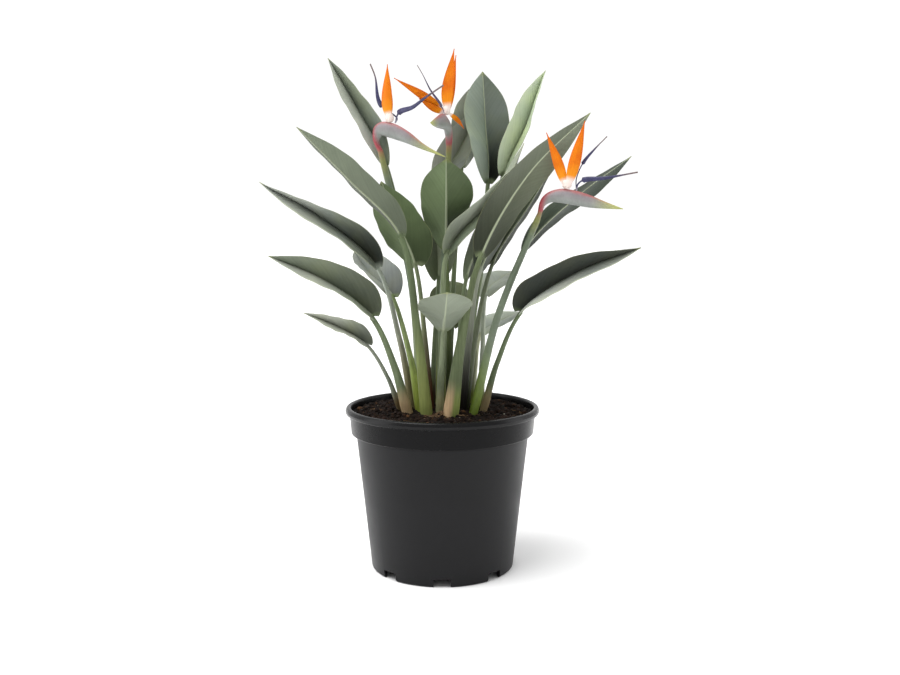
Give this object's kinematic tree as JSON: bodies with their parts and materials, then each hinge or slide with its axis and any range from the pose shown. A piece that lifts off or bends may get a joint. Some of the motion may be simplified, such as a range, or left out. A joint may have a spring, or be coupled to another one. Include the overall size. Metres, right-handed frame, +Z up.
{
  "type": "potted bird of paradise",
  "caption": "Bird of paradise plant with long folded leaves on tall stalks, beaked orange and blue flowers, and a dark round nursery pot filled with soil.",
  "frame": {"origin": "on the floor under the middle of the pot", "axes": "+Z up, -Y towards the viewer of the picture, +X to the viewer's right"},
  "size_m": [0.5642, 0.4036, 0.7995],
  "materials": {
    "leaf": "living leaf and stalk, satin grey-green",
    "spathe": "living flower stalk and sheath, green to red and grey-lilac",
    "sepal": "orange sepals on a white base, satin",
    "petal": "dark blue-violet petals, satin",
    "pot": "near-black moulded plastic, satin",
    "soil": "dark brown coarse peat with pale specks"
  },
  "bodies": {
    "root": {"bloom_1_petals": "petal", "bloom_1_sepals": "sepal", "bloom_1_stem": "spathe", "bloom_2_petals": "petal", "bloom_2_sepals": "sepal", "bloom_2_stem": "spathe", "bloom_3_petals": "petal", "bloom_3_sepals": "sepal", "bloom_3_stem": "spathe", "leaf_01": "leaf", "leaf_02": "leaf", "leaf_03": "leaf", "leaf_04": "leaf", "leaf_05": "leaf", "leaf_06": "leaf", "leaf_07": "leaf", "leaf_08": "leaf", "leaf_09": "leaf", "leaf_10": "leaf", "leaf_11": "leaf", "leaf_12": "leaf", "leaf_13": "leaf", "leaf_14": "leaf", "leaf_15": "leaf", "leaf_16": "leaf", "leaf_17": "leaf", "leaf_18": "leaf", "leaf_19": "leaf", "leaf_20": "leaf", "leaf_21": "leaf", "leaf_22": "leaf", "leaf_23": "leaf", "leaf_24": "leaf", "pot": "pot", "soil": "soil"}
  },
  "joints": []
}
